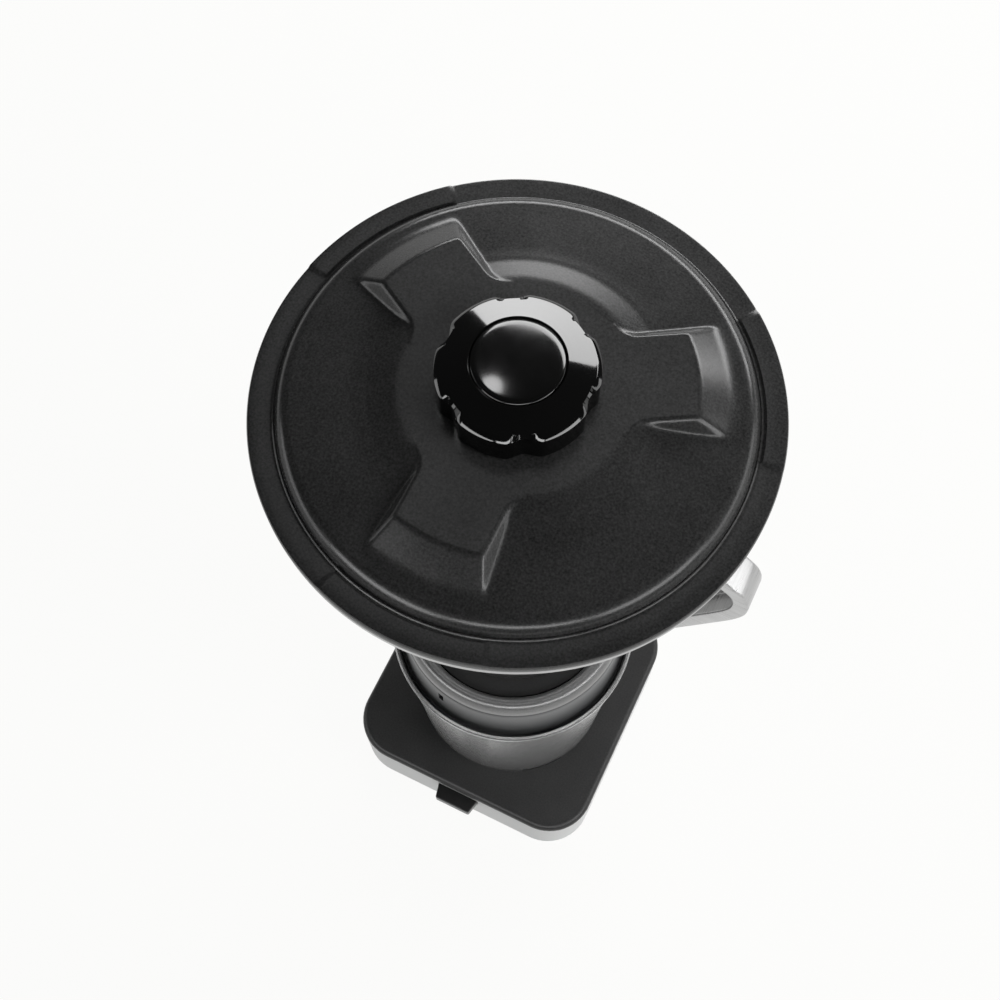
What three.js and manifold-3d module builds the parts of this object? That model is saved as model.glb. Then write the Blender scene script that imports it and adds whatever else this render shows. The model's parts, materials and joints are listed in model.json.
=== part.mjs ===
// Tall countertop jar blender, in millimetres, +Z up.
// Origin: the motor and jar axis at floor level. The switch faces -Y and the jar's handle +X.
import * as THREE from "three";
import Module from "manifold-3d";
import { mergeVertices } from "three/addons/utils/BufferGeometryUtils.js";

const wasm = await Module();
wasm.setup();

// ---------------------------------------------------------------- driving dimensions
const GAP = 0.3; // between pieces that rest on each other
const FINE = 32; // sides of a large visible round piece
const PLAIN = 18; // sides of a medium round piece
const MIDDLING = 12; // sides of a small round piece that turns or slides
const COARSE = 10; // sides of a small or hidden round piece
const QUARTER = Math.PI / 2;
const DEGREE = Math.PI / 180;

const BASE = { width: 155.4, depth: 156.6, corner: 27.4, low: 4, high: 45.7, wall: 3, shelf: 43 };
const COVER = { low: 46, high: 50, edge: 4, drop: 3.6 };
const FLOOR = { inset: 3.5, low: 2, thick: 3, slots: [-24, -16, -8, 8, 16, 24] };
const FOOT = { radius: 8, reach: 55, high: 3.1, pocket: 1.4 };
const SCREW = { x: 40, y: 68, head: 3.4, shank: 1.6, headTop: 3.7, end: 17, boss: 5, bossTop: 8.7 };
const BOARD = { width: 70, depth: 44, y: 25, low: 13.3, thick: 1.6, postX: 28, postY: 16 };
const PADDLE = { wide: 26.6, tip: 22, thick: 9, z: 37.5, pivot: -73.3, back: -70.2, mouth: -78.9, front: -87 };
const SWITCH = { wide: 34, back: -54, front: -68.6, low: 24, high: 42, ear: 2.2, pin: 1.2 };
const GLAND = { x: 0, z: 20, neck: 7, flange: 10, boot: 6, bore: 3.6, inside: 72, outside: 88 };

const COLUMN_WALL = 2.4;
const COLUMN_LINE = [[58.4, 46], [58.4, 50], [59.7, 85], [61.9, 125], [65.6, 165]];
const LIP = [[67, 174], [67.1, 177], [66.2, 178], [64.8, 177.2]];
const SEAT = { dome: 60.4, top: 205.6, plate: 3.2, hole: 10.6, slotAngle: -103.5, slotZ: 194 };
const PAD = { inner: 19, outer: 50.6, low: 206, high: 209.2 };
const SHAFT = { radius: 5, bore: 5.3, low: 48.5, high: 213 };
const BEARING = { radius: 11, height: 7, lowerZ: 51, upperZ: 154.6 };
const BRACKET = {
  lower: 55.4, lowerZ: 46, upper: 58, upperZ: 150, thick: 4, boss: 14, hole: 5.8, vents: 4, bolt: 51,
};
const STATOR = { outer: 46, slot: 38, bore: 30, low: 84, high: 124, poleHalf: 48 };
const COIL = { outer: 37.4, inner: 31, from: 52, to: 66, low: 78, high: 130 };
const ROTOR = { radius: 29.3, winding: 23, windingHigh: 133 };
const COMMUTATOR = { radius: 13, low: 136, high: 148 };
const BRUSH = { wide: 6, tall: 9, from: 13.5, to: 28, holderFrom: 16, holderTo: 42, z: 142, wall: 2 };
const FAN = { radius: 44, hub: 14, low: 62, high: 72, blades: 7 };

const DRIVE = { lobes: 6, radius: 11.4, depth: 1.9, hub: 15, low: 206.3, star: 209.5, high: 216.4, play: 0.6 };
const CUP = { radius: 16.5, low: 210.6, floor: 217.1, high: 219.6 };

const JAR = { base: 41, bottom: 226, top: 441, flare: 0.2617, wall: 1.5, hole: 13.4 };
const JAR_RIM = [
  [99.4, 441.4], [100.2, 443.2], [100.2, 444.8], [99.4, 446.2], [97.8, 446.6], [95.9, 446.2], [95.4, 444.6],
];
const JAR_FOOT = { outer: 41.4, inner: 36.5, low: 209.5, high: 225.7 };
const HUB = { thread: 13, low: 220.4, seat: 229.6, flange: 19, flangeTop: 233, neck: 8.8, high: 244, bore: 7.3 };
const NUT = { radius: 20, low: 220.4, high: 225.7 };
const BLADE_SHAFT = { radius: 4, bore: 4.3, low: 217.4, high: 253.5 };
const BLADE = { reach: 33, root: 7, tip: 4, thick: 1.6, boss: 10, bend: 24, fold: 8.8, lowerZ: 244.8, upperZ: 247 };
const BLADE_NUT = { radius: 7.5, low: 249.2, high: 256.5 };
const HANDLE = { width: 16, sheet: 1.6, depth: 7, steps: 22 };
const HANDLE_LINE = [
  [78, 405], [90, 395.5], [99, 388.5], [107, 381], [109.8, 370], [107.4, 357],
  [97, 335], [85.6, 312], [73.5, 287], [63, 267], [53, 254], [40, 244],
];

const LID = { flange: 101, low: 447, top: 452, skirt: 89, skirtInner: 86.2, skirtLow: 430 };
const CROWN_LINE = [[91.4, 452], [90.6, 453], [89.9, 456], [88, 457.9], [57, 464], [45, 466.3]];
const LID_INSIDE = [[57, 459.5], [84, 454], [86.2, 448]];
const RIM_PAD = { outer: 100.6, inner: 91, half: 18.8, low: 450, high: 452.8 };
const STAR = { disc: 43.2, foot: 57, armEnd: 76, armHalf: 24.3, slope: 7.5, drop: 9.5, low: 457, high: 468.5 };
const STAR_ARMS = [-90, 30, 150];
const FILLER = {
  hole: 24, seat: 27.5, seatLow: 465.5, sleeve: 22.4, wall: 2, low: 440, flange: 27.2, plate: 465, top: 468.4,
};
const KNOB = { low: 468.9, rim: 484, radius: 29, lobe: 1.3, lobes: 6, chamfer: 1, skirt: 27.3, skirtTop: 487.4 };
const STEM = { radius: 6.2, hole: 6.6, low: 462.8, tapped: 2.1, deep: 472, screwHead: 9, screwLow: 459.8 };
const BOSS = { radius: 16.9, recess: 17.3, low: 481.4, edge: 487.9, crown: 489.6 };

// ---------------------------------------------------------------- colours
const finish = (color, roughness, metalness = 0) => ({ color, roughness, metalness });
const LIGHT_GREY = finish(0xb9babb, 0.45);
const BLACK_TOP = finish(0x2d2d2e, 0.62);
const SATIN_METAL = finish(0x9c9d9e, 0.32, 0.85);
const GREY_COLLAR = finish(0x77787a, 0.38, 0.35);
const BLACK_RUBBER = finish(0x1b1b1c, 0.85);
const STAINLESS = finish(0xc3c5c7, 0.25, 1);
const MATTE_LID = finish(0x2e2e2f, 0.6);
const GLOSS_BLACK = finish(0x080808, 0.08);
const STEEL = finish(0x8f9295, 0.3, 1);
const COPPER = finish(0xb8733a, 0.35, 1);
const LAMINATION = finish(0x55585c, 0.5, 0.8);
const NYLON = finish(0xe0ddd2, 0.5);
const CARBON = finish(0x26262a, 0.7);
const BRONZE = finish(0xa9814c, 0.4, 1);
const ALUMINIUM = finish(0xa7a9ac, 0.45, 0.9);
const BOARD_GREEN = finish(0x2f6b3c, 0.5);

// ---------------------------------------------------------------- shape helpers
/** A closed three.js geometry as a solid that can be joined and cut. */
function solid(geometry) {
  geometry.deleteAttribute("normal");
  geometry.deleteAttribute("uv");
  const merged = mergeVertices(geometry, 1e-4);
  const points = merged.attributes.position;
  const corners = merged.index.array;
  const kept = [];
  const at = (i) => new THREE.Vector3().fromBufferAttribute(points, i);
  let volume = 0;
  for (let i = 0; i < corners.length; i += 3) {
    const [a, b, c] = corners.slice(i, i + 3);
    if (a === b || b === c || c === a) continue;
    kept.push(a, b, c);
    volume += at(a).dot(at(b).cross(at(c)));
  }
  if (volume < 0) kept.reverse();
  const vertProperties = new Float32Array(points.array);
  const triVerts = new Uint32Array(kept);
  return new wasm.Manifold(new wasm.Mesh({ numProp: 3, vertProperties, triVerts }));
}

/** A turned piece: profile points are [radius, z], from axis to axis or back to the first point. */
function turned(profile, sides = PLAIN) {
  const points = profile.map(([radius, z]) => new THREE.Vector2(radius, z));
  return solid(new THREE.LatheGeometry(points, sides).rotateX(QUARTER));
}

/** A plain ring or, with no inner radius, a plain disc. */
function ring(outer, inner, low, high, sides = PLAIN) {
  const wall = [[inner, low], [outer, low], [outer, high], [inner, high]];
  return turned(inner > 0 ? [...wall, [inner, low]] : wall, sides);
}

function block(width, depth, height, x = 0, y = 0, z = 0) {
  return solid(new THREE.BoxGeometry(width, depth, height).translate(x, y, z));
}

/** A round rod from low to high along +Y. */
function crossRod(radius, low, high, x, z, sides = PLAIN) {
  const rod = new THREE.CylinderGeometry(radius, radius, high - low, sides);
  return solid(rod.translate(x, (low + high) / 2, z));
}

function roundedSquare(width, depth, corner) {
  const [x, y] = [width / 2 - corner, depth / 2 - corner];
  const shape = new THREE.Shape();
  shape.absarc(x, y, corner, 0, QUARTER);
  shape.absarc(-x, y, corner, QUARTER, 2 * QUARTER);
  shape.absarc(-x, -y, corner, 2 * QUARTER, 3 * QUARTER);
  shape.absarc(x, -y, corner, 3 * QUARTER, 4 * QUARTER);
  return shape;
}

/** A flat outline pulled up from low to high. */
function prism(shape, low, high, curveSegments = 5) {
  const settings = { depth: high - low, bevelEnabled: false, curveSegments };
  return solid(new THREE.ExtrudeGeometry(shape, settings).translate(0, 0, low));
}

/** An outline pulled up from low to high, its top edge rounded or, with one segment, chamfered. */
function rounded(shape, inward, drop, low, high, bevelSegments = 3) {
  const settings = {
    depth: high - low - drop,
    bevelThickness: drop,
    bevelSize: inward,
    bevelOffset: -inward,
    bevelSegments,
    curveSegments: 5,
  };
  const both = solid(new THREE.ExtrudeGeometry(shape, settings).translate(0, 0, low));
  return both.subtract(block(400, 400, 2 * drop, 0, 0, low - drop));
}

/** A piece of a ring between two angles in degrees. */
function sector(outer, inner, from, to, low, high, curveSegments = 12) {
  const shape = new THREE.Shape();
  shape.absarc(0, 0, outer, from * DEGREE, to * DEGREE, false);
  shape.absarc(0, 0, inner, to * DEGREE, from * DEGREE, true);
  return prism(shape, low, high, curveSegments);
}

/** A round outline with evenly spaced lobes. */
function lobed(radius, depth, lobes, sides) {
  const shape = new THREE.Shape();
  for (let i = 0; i < sides; i += 1) {
    const angle = (i / sides) * 2 * Math.PI;
    const r = radius - depth * Math.cos(lobes * angle);
    shape[i ? "lineTo" : "moveTo"](r * Math.cos(angle), r * Math.sin(angle));
  }
  return shape;
}

const group = new THREE.Group();

/** Adds a solid to the model as a named mesh. */
function piece(name, body, look) {
  const { vertProperties, triVerts } = body.getMesh();
  const geometry = new THREE.BufferGeometry();
  geometry.setAttribute("position", new THREE.BufferAttribute(vertProperties, 3));
  geometry.setIndex(new THREE.BufferAttribute(triVerts, 1));
  geometry.computeVertexNormals();
  const mesh = new THREE.Mesh(geometry, new THREE.MeshStandardMaterial(look));
  mesh.name = name;
  group.add(mesh);
  return mesh;
}

const CORNERS = [["front_left", -1, -1], ["front_right", 1, -1], ["back_left", -1, 1], ["back_right", 1, 1]];
const SIDES = [["left", -1], ["right", 1]];

// ---------------------------------------------------------------- base
const baseOutline = (inset) => {
  const { width, depth, corner } = BASE;
  return roundedSquare(width - 2 * inset, depth - 2 * inset, corner - inset);
};

/** The side walls, the shelf that carries the cover and the motor, and the screw posts. */
function baseHousing() {
  const { depth, low, high, wall, shelf } = BASE;
  const slot = block(PADDLE.wide + 1, 12, PADDLE.thick + 1.8, 0, -depth / 2 + 2, PADDLE.z);
  const glandHole = crossRod(GLAND.neck + GAP, depth / 2 - 6, depth / 2 + 4, GLAND.x, GLAND.z, COARSE);
  let body = prism(baseOutline(0), low, high)
    .subtract(prism(baseOutline(wall), low - 1, shelf))
    .subtract(ring(BRACKET.lower - 4, 0, shelf - 1, high + 1, FINE));
  for (const [, x, y] of CORNERS) {
    const post = ring(SCREW.boss - 0.6, SCREW.shank + GAP, SCREW.bossTop + GAP, shelf + 1, COARSE);
    body = body.add(post.translate([x * SCREW.x, y * SCREW.y, 0]));
  }
  return body.subtract(slot).subtract(glandHole);
}

/** The flat cover with a rounded edge and a round hole for the motor column. */
function baseTopCover() {
  const { low, high, edge, drop } = COVER;
  const hole = ring(COLUMN_LINE[0][0] + GAP, 0, low - 1, high + 1, FINE);
  return rounded(baseOutline(0), edge, drop, low, high).subtract(hole);
}

/** The floor plate, with air slots, board posts, screw bosses and blind pockets for the feet. */
function bottomCover() {
  const { inset, low, thick, slots } = FLOOR;
  let body = prism(baseOutline(inset), low, low + thick);
  for (const y of slots) body = body.subtract(block(46, 3, 20, 0, y, 0));
  for (const x of [-1, 1]) {
    for (const y of [-1, 1]) {
      const post = ring(3, 0, low + 1, BOARD.low - GAP, 6);
      body = body.add(post.translate([x * BOARD.postX, BOARD.y + y * BOARD.postY, 0]));
    }
  }
  for (const [, x, y] of CORNERS) {
    const boss = ring(SCREW.boss, 0, low + 1, SCREW.bossTop, COARSE);
    const bore = ring(SCREW.shank + GAP, 0, 0, SCREW.end, COARSE);
    const countersink = ring(SCREW.head + GAP, 0, 0, SCREW.headTop + GAP, COARSE);
    const pocket = ring(FOOT.radius + GAP, 0, 0, low + FOOT.pocket, COARSE);
    const place = [x * SCREW.x, y * SCREW.y, 0];
    body = body.add(boss.translate(place)).subtract(bore.translate(place));
    body = body.subtract(countersink.translate(place));
    body = body.subtract(pocket.translate([x * FOOT.reach, y * FOOT.reach, 0]));
  }
  return body;
}

function foot() {
  const { radius, high } = FOOT;
  return turned([[0, 0], [radius - 1, 0], [radius, 1], [radius, high], [0, high]], COARSE);
}

function coverScrew() {
  const { head, shank, headTop, end } = SCREW;
  const low = headTop - 1.8;
  return turned([[0, low], [head - 0.6, low], [head, headTop], [shank, headTop], [shank, end], [0, end]], COARSE);
}

/** The tapered tongue that sticks out of the front wall, seen from above. */
function switchPaddle() {
  const { wide, tip, thick, z, back, mouth, front } = PADDLE;
  const shape = new THREE.Shape();
  shape.moveTo(-wide / 2, back);
  shape.lineTo(-wide / 2, mouth);
  shape.lineTo(-tip / 2 - 0.4, front + 1);
  shape.lineTo(-tip / 2 + 0.8, front);
  shape.lineTo(tip / 2 - 0.8, front);
  shape.lineTo(tip / 2 + 0.4, front + 1);
  shape.lineTo(wide / 2, mouth);
  shape.lineTo(wide / 2, back);
  return prism(shape, z - thick / 2, z + thick / 2).subtract(switchPin(GAP));
}

function switchPin(play = 0) {
  const radius = SWITCH.pin + play;
  const length = SWITCH.wide - 1.4 + 2 * play;
  const rod = new THREE.CylinderGeometry(radius, radius, length, 8).rotateZ(QUARTER);
  return solid(rod.translate(0, PADDLE.pivot, PADDLE.z));
}

/** The switch behind the front wall, with two ears that carry the paddle's pin. */
function switchBody() {
  const { wide, back, front, low, high, ear } = SWITCH;
  let body = block(wide, back - front, high - low, 0, (back + front) / 2, (low + high) / 2);
  for (const side of [-1, 1]) {
    body = body.add(block(ear, 6.2, 9, side * (wide - ear) / 2, front - 2.8, PADDLE.z));
  }
  return body.subtract(switchPin(GAP));
}

/** Rubber grommet in the back wall that a mains lead would pass through. */
function cordGland() {
  const { x, z, neck, flange, boot, bore, inside, outside } = GLAND;
  const wallIn = BASE.depth / 2 - BASE.wall - GAP;
  const wallOut = BASE.depth / 2 + GAP;
  const profile = [
    [bore, inside], [flange - 1, inside], [flange - 1, wallIn], [neck, wallIn], [neck, wallOut],
    [flange, wallOut], [flange, wallOut + 2], [boot + 1, wallOut + 3], [boot, outside], [bore, outside], [bore, inside],
  ];
  return turned(profile, COARSE).rotate([-90, 0, 0]).translate([x, 0, z]);
}

// ---------------------------------------------------------------- motor column
function columnShell() {
  const inner = COLUMN_LINE.map(([radius, z]) => [radius - COLUMN_WALL, z]).reverse();
  return turned([...COLUMN_LINE, ...LIP, ...inner, COLUMN_LINE[0]], FINE);
}

/** The moulded collar inside the lip: a drip gutter, a steep dome, and the plate under the jar. */
function seatCollar() {
  const { dome, top, plate, hole, slotAngle, slotZ } = SEAT;
  const profile = [
    [46, 154.4], [61, 154.4], [62.2, 162], [63.7, 170.8], [62.2, 171.4], [61.2, 188], [dome, top],
    [hole, top], [hole, top - plate], [dome - 3.4, top - plate], [58.2, 170], [57.4, 157.4], [46, 157.4], [46, 154.4],
  ];
  const slot = block(8, 3.2, 9, dome, 0, slotZ).rotate([0, 0, slotAngle]);
  return turned(profile, FINE).subtract(slot);
}

function seatRing() {
  const { low } = PAD;
  const crest = [[60.2, low], [59.8, 209.6], [58.2, 213.2], [55.8, 214.4], [53, 212.4], [51, 208.8]];
  return turned([[51, low], ...crest, [51, low]], FINE);
}

/** An end bracket of the motor: a vented disc with a bearing cup. */
function bracket(radius, low, bearingZ) {
  const { thick, boss, hole, vents } = BRACKET;
  const [seat, cup] = [bearingZ - GAP, bearingZ + BEARING.height];
  const grip = BEARING.radius + GAP;
  const disc = [[hole, low], [radius, low], [radius, low + thick], [boss, low + thick]];
  let body = turned([...disc, [boss, cup], [grip, cup], [grip, seat], [hole, seat], [hole, low]], PLAIN);
  for (let i = 0; i < vents; i += 1) {
    const vent = ring(8, 0, low - 1, low + thick + 1, 8).translate([32, 0, 0]);
    body = body.subtract(vent.rotate([0, 0, (i + 0.5) * (360 / vents)]));
  }
  return body;
}

const bearing = (low) => ring(BEARING.radius, SHAFT.bore, low, low + BEARING.height, MIDDLING);

/** The laminated field core with two pole shoes. */
function statorCore() {
  const { outer, slot, bore, low, high, poleHalf } = STATOR;
  const pole = () => sector(slot + 0.5, bore, -poleHalf, poleHalf, low, high, 8);
  return ring(outer, slot, low, high, PLAIN).add(pole()).add(pole().rotate([0, 0, 180]));
}

/** A saddle coil round the pole shoe that faces the given angle. */
function fieldCoil(angle) {
  const { outer, inner, from, to, low, high } = COIL;
  const run = (a, b, z0, z1) => sector(outer, inner, a, b, z0, z1, 4);
  return run(from, to, low, high)
    .add(run(-to, -from, low, high))
    .add(run(-to, to, STATOR.high + 0.6, high))
    .add(run(-to, to, low, STATOR.low - 0.6))
    .rotate([0, 0, angle]);
}

function brush(side) {
  const { wide, tall, from, to, z } = BRUSH;
  return block(to - from, wide, tall, side * (from + to) / 2, 0, z);
}

function brushHolder(side) {
  const { wide, tall, holderFrom, holderTo, z, wall } = BRUSH;
  const middle = side * (holderFrom + holderTo) / 2;
  const tube = block(holderTo - holderFrom, wide + 2 * wall, tall + 2 * wall, middle, 0, z);
  return tube.subtract(block(60, wide + 2 * GAP, tall + 2 * GAP, middle, 0, z));
}

function coolingFan() {
  const { radius, hub, low, high, blades } = FAN;
  let body = ring(radius, SHAFT.bore, low, low + 1.6, PLAIN).add(ring(hub, SHAFT.bore, low, high, PLAIN));
  for (let i = 0; i < blades; i += 1) {
    const blade = block(radius - hub, 1.6, high - low, (radius + hub) / 2 - 1, 0, (low + high) / 2);
    body = body.add(blade.rotate([0, 0, (i * 360) / blades]));
  }
  return body;
}

/** The lobed driver on top of the motor shaft. */
function driveCoupling() {
  const { lobes, radius, depth, hub, low, star, high } = DRIVE;
  const driver = prism(lobed(radius, depth, lobes, 30), star - 1, high);
  return ring(hub, 0, low, star, PLAIN).add(driver).subtract(ring(SHAFT.bore, 0, low - 1, SHAFT.high + GAP, MIDDLING));
}

// ---------------------------------------------------------------- jar
const jarRadius = (z) => JAR.base + JAR.flare * (z - JAR.bottom);

function jarBody() {
  const { base, bottom, top, wall, hole } = JAR;
  const inside = [[base - wall, bottom + wall], [hole, bottom + wall], [hole, bottom]];
  return turned([[hole, bottom], [base, bottom], [jarRadius(top), top], ...JAR_RIM, ...inside], FINE);
}

/** A folded sheet-metal channel bent into an ear, its ends cut to the jar's wall. */
function jarHandle() {
  const { width, sheet, depth, steps } = HANDLE;
  const line = new THREE.SplineCurve(HANDLE_LINE.map(([x, z]) => new THREE.Vector2(x, z)));
  const offset = (t, distance) => {
    const tangent = line.getTangent(t);
    return line.getPoint(t).add(new THREE.Vector2(tangent.y, -tangent.x).multiplyScalar(distance));
  };
  const band = (near, far, thick) => {
    const outer = Array.from({ length: steps + 1 }, (_, i) => offset(i / steps, near));
    const inner = Array.from({ length: steps + 1 }, (_, i) => offset(1 - i / steps, far));
    const settings = { depth: thick, bevelEnabled: false };
    const shape = new THREE.Shape([...outer, ...inner]);
    return solid(new THREE.ExtrudeGeometry(shape, settings).rotateX(QUARTER).translate(0, thick / 2, 0));
  };
  const channel = band(0, depth, width).subtract(band(sheet, depth + 6, width - 2 * sheet));
  const low = JAR.bottom - 40;
  const jarSpace = [[0, low], [jarRadius(low) + GAP, low], [jarRadius(JAR.top) + GAP, JAR.top], [0, JAR.top]];
  return channel.subtract(turned(jarSpace, FINE));
}

/** The bearing housing that screws through the jar's floor. */
function bladeHub() {
  const { thread, low, seat, flange, flangeTop, neck, high, bore } = HUB;
  const outside = [[bore, low], [thread, low], [thread, seat], [flange, seat], [flange, flangeTop - 1]];
  return turned([...outside, [flange - 1, flangeTop], [neck, flangeTop], [neck, high], [bore, high], [bore, low]]);
}

/** A two-winged knife whose wings bend by the given angle. */
function knife(low, bend) {
  const { reach, root, tip, thick, boss, fold } = BLADE;
  const shape = new THREE.Shape();
  shape.moveTo(fold - 1, -root);
  shape.lineTo(reach, -tip);
  shape.lineTo(reach - 3, tip);
  shape.lineTo(fold - 1, root);
  const wing = () => prism(shape, 0, thick).translate([-fold, 0, 0]).rotate([0, -bend, 0]).translate([fold, 0, low]);
  const blank = ring(boss, 0, low, low + thick, MIDDLING).add(wing()).add(wing().rotate([0, 0, 180]));
  return blank.subtract(ring(BLADE_SHAFT.bore, 0, low - 2, low + 4, MIDDLING));
}

function bladeNut() {
  const { radius, low, high } = BLADE_NUT;
  const dome = [[0, low], [radius, low], [radius, low + 3], [radius - 2.5, high - 1], [0, high]];
  return turned(dome, 6).subtract(ring(BLADE_SHAFT.bore, 0, low - 1, BLADE_SHAFT.high + GAP, MIDDLING));
}

/** The cup under the jar that drops over the motor's lobed driver. */
function drivenCoupling() {
  const { radius, low, floor, high } = CUP;
  const socket = prism(lobed(DRIVE.radius + DRIVE.play, DRIVE.depth, DRIVE.lobes, 30), low - 1, floor);
  return ring(radius, 0, low, high, PLAIN).subtract(socket).subtract(ring(BLADE_SHAFT.bore, 0, low, high + 1, MIDDLING));
}

// ---------------------------------------------------------------- lid and filler cap
/** The lid: plug skirt, flange with three raised pads, sloping crown and the three-armed star. */
function lidShell() {
  const { flange, low, top, skirt, skirtInner, skirtLow } = LID;
  const rim = [[skirtInner, skirtLow], [skirt, skirtLow], [skirt, low], [flange, low], [flange, top - 1], [flange - 1, top]];
  const centre = [[FILLER.hole, 466.3], [FILLER.hole, 461]];
  let body = turned([...LID_INSIDE, ...rim, ...CROWN_LINE, ...centre, LID_INSIDE[0]], FINE);
  body = body.add(turned([[FILLER.hole, 463], [STAR.foot, 461], [STAR.foot, 464], [STAR.disc, STAR.high],
    [FILLER.hole, STAR.high], [FILLER.hole, 463]], FINE));
  const arm = new THREE.Shape();
  arm.moveTo(FILLER.hole + 10, -STAR.armHalf);
  arm.lineTo(STAR.armEnd, -STAR.armHalf + 1);
  arm.lineTo(STAR.armEnd + 2.5, -STAR.armHalf / 2);
  arm.lineTo(STAR.armEnd + 2.5, STAR.armHalf / 2);
  arm.lineTo(STAR.armEnd, STAR.armHalf - 1);
  arm.lineTo(FILLER.hole + 10, STAR.armHalf);
  for (const angle of STAR_ARMS) {
    const raised = rounded(arm, STAR.slope, STAR.drop, STAR.low, STAR.high, 1);
    const pad = sector(RIM_PAD.outer, RIM_PAD.inner, -RIM_PAD.half, RIM_PAD.half, RIM_PAD.low, RIM_PAD.high, 10);
    body = body.add(raised.rotate([0, 0, angle])).add(pad.rotate([0, 0, angle]));
  }
  return body
    .subtract(ring(FILLER.hole, 0, skirtLow, STAR.high + 1, FINE))
    .subtract(ring(FILLER.seat, 0, FILLER.seatLow, STAR.high + 1, FINE));
}

function fillerPlug() {
  const { sleeve, wall, low, flange, plate, top } = FILLER;
  const outside = [[sleeve - wall, low], [sleeve, low], [sleeve, top - 2.6], [flange, top - 2.6], [flange, top]];
  return turned([...outside, [STEM.hole, top], [STEM.hole, plate], [sleeve - wall, plate], [sleeve - wall, low]]);
}

/** The six-lobed knob with a sloping skirt, a recess for its boss and a stem through the plug. */
function capKnob() {
  const { low, rim, radius, lobe, lobes, chamfer, skirt, skirtTop } = KNOB;
  const cone = turned([[0, rim - 3], [skirt, rim - 3], [skirt, rim], [BOSS.recess + 0.6, skirtTop], [0, skirtTop]], FINE);
  return rounded(lobed(radius, lobe, lobes, 36), chamfer, chamfer, low, rim, 1)
    .add(cone)
    .add(ring(STEM.radius, 0, STEM.low, low + 1, MIDDLING))
    .subtract(ring(STEM.tapped, 0, STEM.low - 1, STEM.deep, 12))
    .subtract(ring(BOSS.recess, 0, BOSS.low - GAP, skirtTop + 1, PLAIN));
}

function capBoss() {
  const { radius, low, edge, crown } = BOSS;
  const dome = [[radius, edge - 0.7], [radius - 0.7, edge], [radius * 0.6, crown - 0.5], [0, crown]];
  return turned([[0, low], [radius, low], ...dome], PLAIN);
}

function capScrew() {
  const { tapped, low, deep, screwHead, screwLow } = STEM;
  const shank = tapped - GAP;
  return turned([[0, screwLow], [screwHead, screwLow], [screwHead, low - GAP], [shank, low - GAP],
    [shank, deep - 1], [0, deep - 1]], MIDDLING);
}

// ---------------------------------------------------------------- assembly
piece("base_housing", baseHousing(), LIGHT_GREY);
piece("base_top_cover", baseTopCover(), BLACK_TOP);
piece("bottom_cover", bottomCover(), BLACK_TOP);
for (const [corner, x, y] of CORNERS) {
  piece(`foot_${corner}`, foot(), BLACK_RUBBER).position.set(x * FOOT.reach, y * FOOT.reach, 0);
  piece(`cover_screw_${corner}`, coverScrew(), STEEL).position.set(x * SCREW.x, y * SCREW.y, 0);
}
piece("switch_paddle", switchPaddle(), GLOSS_BLACK);
piece("switch_pin", switchPin(), STEEL);
piece("switch_body", switchBody(), NYLON);
piece("control_board", block(BOARD.width, BOARD.depth, BOARD.thick), BOARD_GREEN)
  .position.set(0, BOARD.y, BOARD.low + BOARD.thick / 2);
piece("capacitor", ring(7, 0, 0, 21, MIDDLING), GLOSS_BLACK).position.set(20, BOARD.y, BOARD.low + BOARD.thick + GAP);
piece("cord_gland", cordGland(), BLACK_RUBBER);

piece("column_shell", columnShell(), SATIN_METAL);
piece("seat_collar", seatCollar(), GREY_COLLAR);
piece("seat_ring", seatRing(), SATIN_METAL);
piece("seat_pad", ring(PAD.outer, PAD.inner, PAD.low, PAD.high, FINE), BLACK_RUBBER);
piece("shaft_seal", ring(SEAT.hole - 0.4, SHAFT.bore, SEAT.top - 4, SEAT.top - 0.2, MIDDLING), BLACK_RUBBER);
piece("lower_bracket", bracket(BRACKET.lower, BRACKET.lowerZ, BEARING.lowerZ), ALUMINIUM);
piece("upper_bracket", bracket(BRACKET.upper, BRACKET.upperZ, BEARING.upperZ), ALUMINIUM);
piece("lower_bearing", bearing(BEARING.lowerZ), STEEL);
piece("upper_bearing", bearing(BEARING.upperZ), STEEL);
piece("stator_core", statorCore(), LAMINATION);
for (const [hand, side] of SIDES) {
  piece(`field_coil_${hand}`, fieldCoil(side < 0 ? 180 : 0), COPPER);
  piece(`brush_${hand}`, brush(side), CARBON);
  piece(`brush_holder_${hand}`, brushHolder(side), BRONZE);
  const bolt = ring(2.5, 0, BRACKET.lowerZ + BRACKET.thick + GAP, BRACKET.upperZ - GAP, COARSE);
  piece(`motor_bolt_${hand}`, bolt, STEEL).position.set(side * BRACKET.bolt, 0, 0);
}

piece("motor_shaft", ring(SHAFT.radius, 0, SHAFT.low, SHAFT.high, MIDDLING), STEEL);
piece("rotor_core", ring(ROTOR.radius, SHAFT.bore, STATOR.low, STATOR.high, PLAIN), LAMINATION);
piece("rotor_winding", ring(ROTOR.winding, SHAFT.bore, STATOR.high + GAP, ROTOR.windingHigh, PLAIN), COPPER);
piece("commutator", ring(COMMUTATOR.radius, SHAFT.bore, COMMUTATOR.low, COMMUTATOR.high, MIDDLING), COPPER);
piece("cooling_fan", coolingFan(), NYLON);
piece("drive_coupling", driveCoupling(), STEEL);

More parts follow.
